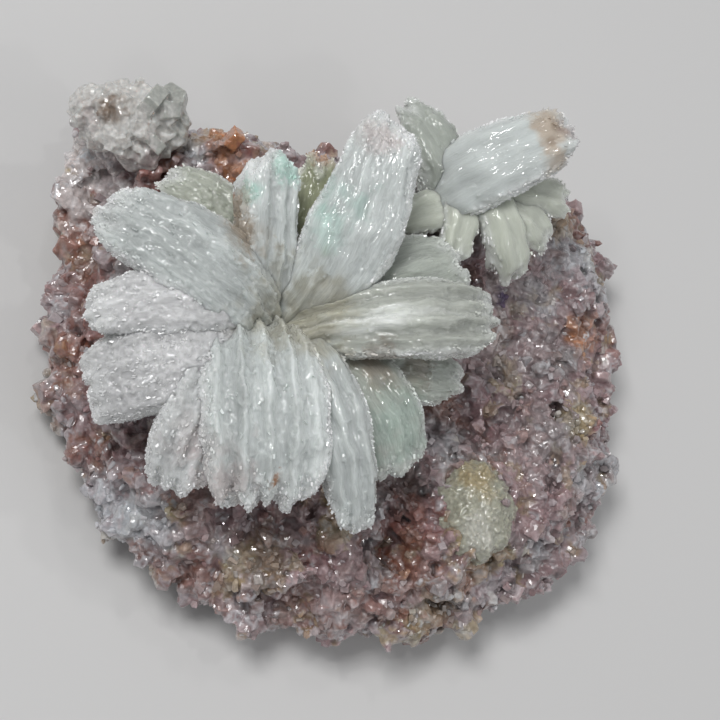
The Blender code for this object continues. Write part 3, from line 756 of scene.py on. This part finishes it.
def rough_plate(share, angle, down):
    """(points, firmness) of the plate at shares of its reach, with the solid's lumps and grit."""
    reach = outline_radius(angle) * share * (1 - (1 - BACK_INSET) * down**2)
    x, y = reach * np.cos(angle), reach * np.sin(angle)
    top = plate_height(x, y)
    edge = PLATE_RIM + (top - PLATE_TOP) * 0.6
    z = (top + (edge - top) * smooth_step(RIM_STARTS, 1.0, share)) * (1 - down)
    points = np.stack([x, y, z], axis=1)
    rough = solid_shift(points, LUMP_SIZE, LUMP_HEIGHT) + solid_shift(points, GRIT_SIZE, GRIT_HEIGHT)
    firm = smooth_step(0.0, SMOOTH_FOOT, z)
    return points + rough * firm[:, None], firm


def web_shares(points):
    """(wall, pit) shares of the web of pale walls at each point."""
    near = smooth_step(1.1, 0.6, np.linalg.norm(points - WEB_MIDDLE, axis=1) / WEB_RADIUS)
    ragged = np.stack([wander(points / 3.0, 90 + axis) for axis in range(3)], axis=1) * 1.2
    place, home, nearest, second = nearest_seeds((points + ragged) / WEB_SIZE, 95)
    wall = smooth_step(0.34, 0.12, second - nearest) * near
    pit = smooth_step(0.3, 0.6, second - nearest) * near
    return wall, pit


def rock_colour(points):
    """The colour of the crust and of what grows on it."""
    wall, pit = web_shares(points)
    tint = paint(points, rock_base(points), ROCK_STAINS_AND_SHADE)
    tint += (linear(RED_BROWN) - tint) * (0.75 * pit)[:, None]
    return tint + (linear(LILAC_WHITE) - tint) * (0.95 * wall)[:, None]


def rock_crust():
    """(shape, way) of the plate: a fine grid for its top, extruded down for its wall, and its flat back.

    way is 0 in the middle of the top, 1 on the rim and 2 at the foot of the wall.
    """
    bm = bmesh.new()
    bmesh.ops.create_grid(bm, x_segments=PLATE_CELLS, y_segments=PLATE_CELLS, size=1)
    for step in range(WALL_STEPS):
        rim = [edge for edge in bm.edges if edge.is_boundary]
        for vert in bmesh.ops.extrude_edge_only(bm, edges=rim)["geom"]:
            if isinstance(vert, bmesh.types.BMVert):
                vert.co.z = -(step + 1) / WALL_STEPS
    bmesh.ops.edgeloop_fill(bm, edges=[edge for edge in bm.edges if edge.is_boundary])
    flat, faces = shape_of(bm)
    share, angle = square_to_disc(flat[:, 0], flat[:, 1])
    down = -flat[:, 2]
    points, firm = rough_plate(share, angle, down)

    place, home, nearest, second = nearest_seeds(points / FACET_SIZE, 21)
    lean = np.stack([lattice(home, 31 + axis) for axis in range(3)], axis=1) * 2 - 1
    facet = ((points / FACET_SIZE - place) * lean).sum(axis=1) * FACET_LEAN * FACET_SIZE
    bulge = FACET_BULGE * (smooth_step(0.0, 0.5, second - nearest) - 0.6)
    fine = FINE_BULGE * (grown_bumps(points, FINE_SIZE, 22) - 0.5)
    hole = smooth_step(0.30, 0.12, nearest_seeds(points / HOLE_SIZE, 51)[2])
    wall, pit = web_shares(points)
    relief = facet + bulge + fine - hole * HOLE_DEPTH + wall * WALL_RISE - pit * PIT_DEPTH - 0.4
    points += point_normals(points, faces) * (relief * firm)[:, None]
    points[:, 2] = np.maximum(points[:, 2], 0)

    # Darker in the deep holes and where crystals meet, lighter on their bulges: painted shade and highlight. The
    # step from crystal to crystal is their own tone.
    shade = (1 - 0.7 * hole) * (0.82 + 0.16 * lattice(home, 41)) * (0.9 + 0.2 * bulge)
    tint = rock_colour(points) * shade[:, None]
    return Shape(points, faces, tint, points.copy(), np.ones(len(faces), bool)), share + down


def room_left(place):
    """How far a place on the plate is from the nearest piece that grows from it."""
    room = (Vector(BUTTON_PLACE) - place).length - max(BUTTON_RADII)
    for lump in CORNER_LUMPS:
        room = min(room, (Vector(lump.place) - place).length - max(lump.half))
    for blade in BLADES.values():
        spots = spine(blade, np.linspace(0, 1, 11))[0]
        room = min(room, np.linalg.norm(spots - place, axis=1).min() - blade.width / 2)
    return room


def large_crystals():
    """The large blocks and points on the plate, each where the solid has it."""
    rng = random.Random(SEED)
    bm = bmesh.new()
    for count in range(CRYSTAL_COUNT):
        angle = count * GOLDEN_TURN
        way = CRYSTALS_START + (CRYSTALS_END - CRYSTALS_START) * math.sqrt((count + 0.5) / CRYSTAL_COUNT)
        shares = [np.array([value]) for value in (min(way, 1.0), angle, max(0.0, way - 1))]
        place = Vector(rough_plate(*shares)[0][0])
        level = float(smooth_step(RIM_STARTS, 1.1, way))
        outward = Vector((math.cos(angle) * level, math.sin(angle) * level, 1.1 - level)).normalized()
        size = rng.uniform(CRYSTAL_SMALLEST, CRYSTAL_LARGEST)
        if place.z <= size or room_left(place) <= size:
            continue
        turn = outward.to_track_quat("Z", "Y").to_matrix().to_4x4()
        lean = Euler((rng.uniform(-0.5, 0.5), rng.uniform(-0.5, 0.5), rng.uniform(0, math.tau))).to_matrix()
        matrix = Matrix.Translation(place + outward * size * CRYSTAL_RISE) @ turn @ lean.to_4x4()
        if rng.random() < BLOCK_SHARE:
            proportions = (size, size * rng.uniform(0.5, 0.9), size * rng.uniform(0.8, 1.1), 1)
            bmesh.ops.create_cube(bm, size=1, matrix=matrix @ Matrix.Diagonal(proportions))
        else:
            bmesh.ops.create_cone(
                bm,
                cap_ends=True,
                cap_tris=False,
                segments=6,
                radius1=size * 0.55,
                radius2=size * 0.12,
                depth=size * 1.2,
                matrix=matrix,
            )
    bmesh.ops.subdivide_edges(bm, edges=bm.edges, cuts=3, use_grid_fill=True)
    points, faces = shape_of(bm)
    points += solid_shift(points, 1.6, 0.5)
    return Shape(points, faces, rock_colour(points), points.copy(), np.zeros(len(faces), bool))


def druse_shape(crust, way, druse):
    """Small crystals of one form all over the crust, sunk into it, and clearer towards its rim."""
    points, faces = crust.points, crust.faces
    pit = web_shares(points[faces[:, 0]])[1]
    weights = (points[faces][:, :, 2].min(axis=1) > 2.5) * (1 - 0.9 * pit)
    chosen, places = scattered(points, faces, weights, druse.count)
    corner = faces[chosen, 0]
    outward = point_normals(points, faces)[corner]
    directions = unit(outward + DICE.normal(0, 0.6, (druse.count, 3)))
    rim = smooth_step(0.75, 1.05, way[corner])
    size = druse.smallest + (druse.largest - druse.smallest) * DICE.beta(1.5, 3.5, druse.count)
    size *= 1 + 0.3 * rim
    sizes = size[:, None] * DICE.uniform(0.7, 1.2, (druse.count, 3))
    clear = np.clip(DICE.normal(0.05, 0.20, druse.count) + 0.25 * rim, 0, 0.85)[:, None]
    base = rock_colour(places) * DICE.uniform(0.88, 1.2, (druse.count, 1))
    tint = base + (linear(ICE) - base) * clear
    shape = grown(druse.form, places - outward * size[:, None] * 0.2, directions, sizes, tint, places)
    shape.points[:, 2] = np.maximum(shape.points[:, 2], 0.2)
    return shape


# The pale button and the corner cluster, as the solids have them.
BUTTON_PLACE = (29, -29, 25)
BUTTON_RADII = (9.5, 12.0, 7.5)
BUTTON_TEETH, BUTTON_TOOTH_DEPTH = 9, 0.10
BUTTON_SIDES, BUTTON_RINGS = 108, 60
BUTTON_CRYSTALS = 1100
# The crystals of the button fan out from this far below its middle.
FAN_DEPTH = 6.0

Lump = namedtuple("Lump", "place half turn")
CORNER_LUMPS = [
    Lump((-54, 49, 36), (7.0, 6.5, 7.0), (20, 10, 15)),
    Lump((-47, 48, 36), (6.0, 4.5, 6.5), (-15, 25, -20)),
    Lump((-59, 50, 34), (4.5, 5.5, 6.0), (10, -20, 40)),
    Lump((-50, 44, 34), (4.5, 4.5, 5.0), (30, 0, 60)),
]
# The large clear crystals on the cluster's side towards the flowers: their middle, direction and size.
ClearCrystal = namedtuple("ClearCrystal", "place direction size")
CLEAR_CRYSTALS = [
    ClearCrystal((-45, 52, 40), (0.9, 0.4, 0.5), (9, 10, 9)),
    ClearCrystal((-44, 49, 38), (1.0, -0.1, 0.2), (8, 12, 9)),
    ClearCrystal((-45, 46, 37), (0.9, -0.5, 0.4), (9, 9, 8)),
    ClearCrystal((-49, 51, 43), (0.4, 0.5, 0.9), (9, 11, 8)),
    ClearCrystal((-48, 44, 38), (0.5, -0.8, 0.5), (8, 9, 8)),
    ClearCrystal((-46, 49, 42), (0.7, 0.0, 0.9), (7, 12, 8)),
]
LUMP_BEVEL = 0.42
# The facets of the button and the cluster once their crystals are fused.
LUMP_FACET = 0.35
LUMP_CUTS = 22
LUMP_CRYSTALS = 420


def button_shape():
    """A low dome, with blunt crystals that fan out of it and make its edge serrated."""
    bm = bmesh.new()
    bmesh.ops.create_uvsphere(bm, u_segments=BUTTON_SIDES, v_segments=BUTTON_RINGS, radius=1)
    ball, faces = shape_of(bm)
    angle = np.arctan2(ball[:, 1], ball[:, 0])
    tooth = 1 + BUTTON_TOOTH_DEPTH / 2 * np.cos(BUTTON_TEETH * angle) * np.hypot(ball[:, 0], ball[:, 1])
    points = ball * BUTTON_RADII * tooth[:, None] + BUTTON_PLACE
    points += solid_shift(points, BLADE_NOISE_SIZE, BLADE_NOISE_HEIGHT)
    points -= point_normals(points, faces) * 0.8
    tint = paint(points, plain(BUTTON_CREAM, len(points)), LUMP_STAINS)
    dome = Shape(points, faces, tint, points.copy(), np.ones(len(faces), bool))

    weights = points[faces][:, :, 2].min(axis=1) > BUTTON_PLACE[2] - 2
    chosen, places = scattered(points, faces, weights, BUTTON_CRYSTALS)
    fan = unit(places - (BUTTON_PLACE - np.array((0, 0, FAN_DEPTH))))
    directions = unit(fan + DICE.normal(0, 0.12, (BUTTON_CRYSTALS, 3)))
    width = DICE.uniform(0.4, 0.9, BUTTON_CRYSTALS)
    length = DICE.uniform(1.0, 2.2, BUTTON_CRYSTALS)
    sizes = np.stack([width, width, length], axis=1)
    colours = paint(places, plain(BUTTON_CREAM, BUTTON_CRYSTALS), LUMP_STAINS)
    colours *= DICE.uniform(0.9, 1.08, (BUTTON_CRYSTALS, 1))
    blunt = grown("point", places - directions * 0.5, directions, sizes, colours, places)
    return fused(joined([dome, blunt]), LUMP_FACET)


def cluster_shape():
    """Four thick crystals grown together, with stepped faces and smaller crystals on them."""
    shapes = []
    for number, lump in enumerate(CORNER_LUMPS):
        bm = bmesh.new()
        bmesh.ops.create_cube(bm, size=2)
        bmesh.ops.bevel(
            bm,
            geom=bm.edges[:],
            offset=LUMP_BEVEL,
            offset_type="OFFSET",
            segments=1,
            profile=0.5,
            affect="EDGES",
            material=-1,
        )
        bmesh.ops.subdivide_edges(bm, edges=bm.edges, cuts=LUMP_CUTS, use_grid_fill=True)
        box, faces = shape_of(bm)
        turn = np.eye(3)
        for axis, degrees in zip("XYZ", lump.turn):
            turn = np.array(Matrix.Rotation(math.radians(degrees), 3, axis)) @ turn
        points = box * lump.half @ turn.T + lump.place
        place, home, nearest, second = nearest_seeds(points / 3.0, 60 + number)
        lean = np.stack([lattice(home, 71 + axis) for axis in range(3)], axis=1) * 2 - 1
        facet = ((points / 3.0 - place) * lean).sum(axis=1) * 1.1
        points += point_normals(points, faces) * facet[:, None]
        tint = paint(points, plain(CLUSTER_WHITE, len(points)), LUMP_STAINS)
        shapes.append(Shape(points, faces, tint, points.copy(), np.zeros(len(faces), bool)))
    lumps = joined(shapes)
    granular = smooth_step(-46, -54, lumps.points[lumps.faces[:, 0], 0])
    weights = (lumps.points[lumps.faces][:, :, 2].min(axis=1) > 28) * (0.1 + granular)
    chosen, places = scattered(lumps.points, lumps.faces, weights, LUMP_CRYSTALS)
    outward = point_normals(lumps.points, lumps.faces)[lumps.faces[chosen, 0]]
    directions = unit(outward + DICE.normal(0, 0.5, (LUMP_CRYSTALS, 3)))
    sizes = DICE.uniform(1.0, 2.8, (LUMP_CRYSTALS, 1)) * DICE.uniform(0.5, 1.3, (LUMP_CRYSTALS, 3))
    colours = paint(places, plain(CLUSTER_WHITE, LUMP_CRYSTALS), LUMP_STAINS)
    colours *= DICE.uniform(0.8, 1.1, (LUMP_CRYSTALS, 1))
    shapes.append(grown("block", places - outward * 0.3, directions, sizes, colours, places))
    places, directions, sizes = (np.array(rows, float) for rows in zip(*CLEAR_CRYSTALS))
    colours = plain(CLEAR_GREY, len(places))
    shapes.append(grown("plate", places, unit(directions), sizes, colours, places))
    return fused(joined(shapes), LUMP_FACET, 0.4, False)


def add_node(tree, kind, settings=None, links=None):
    """Adds one node with its settings, by property or input name, and what feeds its inputs."""
    node = tree.nodes.new(kind)
    for key, value in (settings or {}).items():
        if isinstance(key, str) and hasattr(node, key):
            setattr(node, key, value)
        else:
            node.inputs[key].default_value = value
    for key, source in (links or {}).items():
        tree.links.new(source, node.inputs[key])
    return node


def surface(name, settings):
    """(material, node tree, shader) of a new material with these values on its shader."""
    made = bpy.data.materials.new(name)
    made.use_nodes = True
    tree = made.node_tree
    shader = tree.nodes["Principled BSDF"]
    for key, value in settings.items():
        shader.inputs[key].default_value = value
    return made, tree, shader


def ramp(tree, value, low, high):
    """A share from the middle of a noise's range, spread between two values."""
    node = add_node(
        tree,
        "ShaderNodeMapRange",
        {"From Min": 0.36, "From Max": 0.66, "To Min": low, "To Max": high},
        {"Value": value},
    )
    return node.outputs["Result"]


def shaded(tree, shade):
    """The tint attribute, darkened or lightened by a shade."""
    tint = add_node(tree, "ShaderNodeAttribute", {"attribute_name": "tint"})
    node = add_node(
        tree, "ShaderNodeVectorMath", {"operation": "SCALE"}, {0: tint.outputs["Color"], "Scale": shade}
    )
    return node.outputs[0]


def crystal_facets(tree, place, cells, tilt):
    """The normal of a surface of tiny crystal faces, with one lean for each cell."""
    faces = add_node(tree, "ShaderNodeTexVoronoi", {"Scale": cells}, {"Vector": place})
    centred = add_node(
        tree, "ShaderNodeVectorMath", {"operation": "SUBTRACT", 1: (0.5, 0.5, 0.5)}, {0: faces.outputs["Color"]}
    )
    leaning = add_node(
        tree, "ShaderNodeVectorMath", {"operation": "SCALE", "Scale": tilt}, {0: centred.outputs[0]}
    )
    geometry = add_node(tree, "ShaderNodeNewGeometry")
    turned = add_node(
        tree, "ShaderNodeVectorMath", {"operation": "ADD"},
        {0: geometry.outputs["Normal"], 1: leaning.outputs[0]},
    )
    straight = add_node(tree, "ShaderNodeVectorMath", {"operation": "NORMALIZE"}, {0: turned.outputs[0]})
    return straight.outputs[0]


def satin_spar(name, milkiness, contrast):
    """Satin spar, gypsum in fine parallel fibres: milky and silky, and light goes some way in."""
    made, tree, shader = surface(
        name,
        {
            "IOR": 1.52,
            "Roughness": 0.6,
            "Specular IOR Level": 0.25,
            "Subsurface Weight": milkiness,
            "Subsurface Radius": (1.0, 1.0, 0.95),
            "Subsurface Scale": 0.0025,
            "Coat Weight": 1.0,
            "Coat Roughness": 0.06,
        },
    )
    fibre = add_node(tree, "ShaderNodeAttribute", {"attribute_name": "fibre"})
    # Pale streaks 0.4 mm wide and 3 mm long; the attribute is in millimetres.
    stretched = add_node(
        tree, "ShaderNodeMapping", {"Scale": (3.0, 0.35, 3.0)}, {"Vector": fibre.outputs["Vector"]}
    )
    streaks = add_node(
        tree, "ShaderNodeTexNoise", {"Scale": 1.0, "Detail": 4.0, "Roughness": 0.6}, {"Vector": stretched.outputs[0]}
    )
    # Milky and clear zones about 3 mm wide and 10 mm long.
    drawn_out = add_node(
        tree, "ShaderNodeMapping", {"Scale": (0.3, 0.1, 0.3)}, {"Vector": fibre.outputs["Vector"]}
    )
    zones = add_node(tree, "ShaderNodeTexNoise", {"Scale": 1.0, "Detail": 2.0}, {"Vector": drawn_out.outputs[0]})
    shade = add_node(
        tree, "ShaderNodeMath", {"operation": "MULTIPLY"},
        {
            0: ramp(tree, streaks.outputs["Fac"], 1 - contrast, 1 + contrast),
            1: ramp(tree, zones.outputs["Fac"], 0.88, 1.05),
        },
    )
    # Broken ends of fibres 0.3 mm wide and 0.9 mm long catch the light one by one.
    flakes = add_node(
        tree, "ShaderNodeMapping", {"Scale": (4.2, 1.3, 4.2)}, {"Vector": fibre.outputs["Vector"]}
    )
    lined = add_node(
        tree, "ShaderNodeBump", {"Strength": 0.7, "Distance": 0.0002}, {"Height": streaks.outputs["Fac"]}
    )
    tree.links.new(shaded(tree, shade.outputs[0]), shader.inputs["Base Color"])
    tree.links.new(lined.outputs[0], shader.inputs["Normal"])
    tree.links.new(crystal_facets(tree, flakes.outputs[0], 1.0, 0.55), shader.inputs["Coat Normal"])
    return made


def glassy_crystal(name, transmission, milkiness, tilt):
    """Small crystals grown together: wet-looking, clouded inside, with faces that glint one by one."""
    made, tree, shader = surface(
        name,
        {
            "Roughness": 0.35,
            "IOR": 1.53,
            "Transmission Weight": transmission,
            "Subsurface Weight": milkiness,
            "Subsurface Radius": (1.0, 0.9, 0.85),
            "Subsurface Scale": 0.0015,
            "Coat Weight": 1.0,
            "Coat Roughness": 0.08,
        },
    )
    place = add_node(tree, "ShaderNodeTexCoord")
    # Clouds about 0.8 mm wide and faces about 0.7 mm wide.
    clouds = add_node(
        tree, "ShaderNodeTexNoise", {"Scale": 1 / 0.0008, "Detail": 3.0}, {"Vector": place.outputs["Object"]}
    )
    clouded = add_node(
        tree, "ShaderNodeBump", {"Strength": 0.5, "Distance": 0.0002}, {"Height": clouds.outputs["Fac"]}
    )
    facets = crystal_facets(tree, place.outputs["Object"], 1 / 0.0007, tilt)
    tree.links.new(shaded(tree, ramp(tree, clouds.outputs["Fac"], 0.84, 1.16)), shader.inputs["Base Color"])
    tree.links.new(clouded.outputs[0], shader.inputs["Normal"])
    tree.links.new(facets, shader.inputs["Coat Normal"])
    return made


def main_pieces():
    silky = satin_spar("satin_spar_gypsum", 1.0, 0.12)
    waxy = satin_spar("waxy_gypsum", 1.0, 0.05)
    frost = satin_spar("spar_granules", 0.0, 0.1)
    for name in BLADES:
        blade_pieces(name, waxy if name.startswith("second") else silky, frost)
    rock = glassy_crystal("crystalline_rock", 0.0, 0.6, 0.5)
    druse_finish = glassy_crystal("glassy_druse", 0.0, 0.4, 0.25)
    clear = glassy_crystal("clear_corner_crystal", 0.25, 0.9, 0.4)
    cream = glassy_crystal("cream_gypsum_crystal", 0.0, 0.9, 0.3)
    crust, way = rock_crust()
    ground = joined([crust, large_crystals()])
    way = np.concatenate([way, np.full(len(ground.points) - len(way), 0.9)])
    grown_on = [druse_shape(ground, way, druse) for druse in DRUSE]
    rock_skin = fused(joined([ground, *grown_on]), ROCK_FACET, ROCK_KEPT, False)
    piece("rock_crystals", rock_skin, rock, "matrix_rock", "matrix")
    for name, druse in SPARKLE.items():
        piece(name, druse_shape(ground, way, druse), druse_finish, "matrix_rock", "matrix")
    piece("button_crystals", button_shape(), cream, "cream_gypsum", "pale_button")
    piece("corner_crystals", cluster_shape(), clear, "cream_gypsum", "corner_cluster")


# The photograph's view: the camera looks down at the plate, 23 degrees off its upright.
TARGET = Vector((-0.005, 0.002, 0.028))
TOWARDS_CAMERA = Vector((-0.30, -0.24, 0.923)).normalized()
CAMERA_DISTANCE = 0.38
PIXELS_PER_METRE = 4600
FRAME_PIXELS = 720
TARGET_PIXEL = (332, 360)
SENSOR = 36


def look_matrix(direction, place):
    """A place and turn that looks against a direction, with the plate's far edge upwards."""
    upward = (Vector((0, 1, 0)) - direction.y * direction).normalized()
    turn = Matrix((upward.cross(direction), upward, direction)).transposed().to_4x4()
    return Matrix.Translation(place) @ turn


def add_camera():
    data = bpy.data.cameras.new("camera")
    data.sensor_width = SENSOR
    data.lens = SENSOR * PIXELS_PER_METRE * CAMERA_DISTANCE / FRAME_PIXELS
    data.shift_x = (FRAME_PIXELS / 2 - TARGET_PIXEL[0]) / FRAME_PIXELS
    data.shift_y = (TARGET_PIXEL[1] - FRAME_PIXELS / 2) / FRAME_PIXELS
    data.clip_start = 0.01
    camera = bpy.data.objects.new("camera", data)
    camera.matrix_world = look_matrix(TOWARDS_CAMERA, TARGET + TOWARDS_CAMERA * CAMERA_DISTANCE)
    bpy.context.scene.collection.objects.link(camera)
    bpy.context.scene.camera = camera


# Soft boxes: (name, place, side in metres, watts).
LIGHTS = [
    ("key_softbox", (-0.50, 0.30, 1.05), 0.40, 8.0),
    ("fill_softbox", (0.75, -0.60, 0.90), 0.80, 2.2),
    ("glint_right", (0.36, 0.30, 1.10), 0.05, 0.7),
    ("glint_back", (-0.10, 0.60, 1.05), 0.05, 0.6),
    ("glint_front", (0.55, -0.45, 0.95), 0.05, 0.5),
    ("glint_left", (-0.60, 0.05, 1.00), 0.05, 0.5),
]


def add_lights():
    for name, place, side, watts in LIGHTS:
        data = bpy.data.lights.new(name, "AREA")
        data.size = side
        data.energy = watts
        lamp = bpy.data.objects.new(name, data)
        lamp.matrix_world = look_matrix((Vector(place) - TARGET).normalized(), place)
        bpy.context.scene.collection.objects.link(lamp)
    world = bpy.data.worlds.new("studio")
    world.use_nodes = True
    world.node_tree.nodes["Background"].inputs["Color"].default_value = (*linear("#DDE0E4"), 1)
    world.node_tree.nodes["Background"].inputs["Strength"].default_value = 0.33
    bpy.context.scene.world = world
    bpy.context.scene.view_settings.view_transform = "Standard"


def add_floor():
    bm = bmesh.new()
    bmesh.ops.create_grid(bm, x_segments=1, y_segments=1, size=1.5)
    mesh = bpy.data.meshes.new("floor")
    bm.to_mesh(mesh)
    bm.free()
    paper, tree, shader = surface("matt_paper", {"Roughness": 0.9})
    shader.inputs["Base Color"].default_value = (*linear("#CCCBCA"), 1)
    mesh.materials.append(paper)
    floor = bpy.data.objects.new("floor", mesh)
    bpy.context.scene.collection.objects.link(floor)


main_pieces()
add_camera()
add_lights()
add_floor()
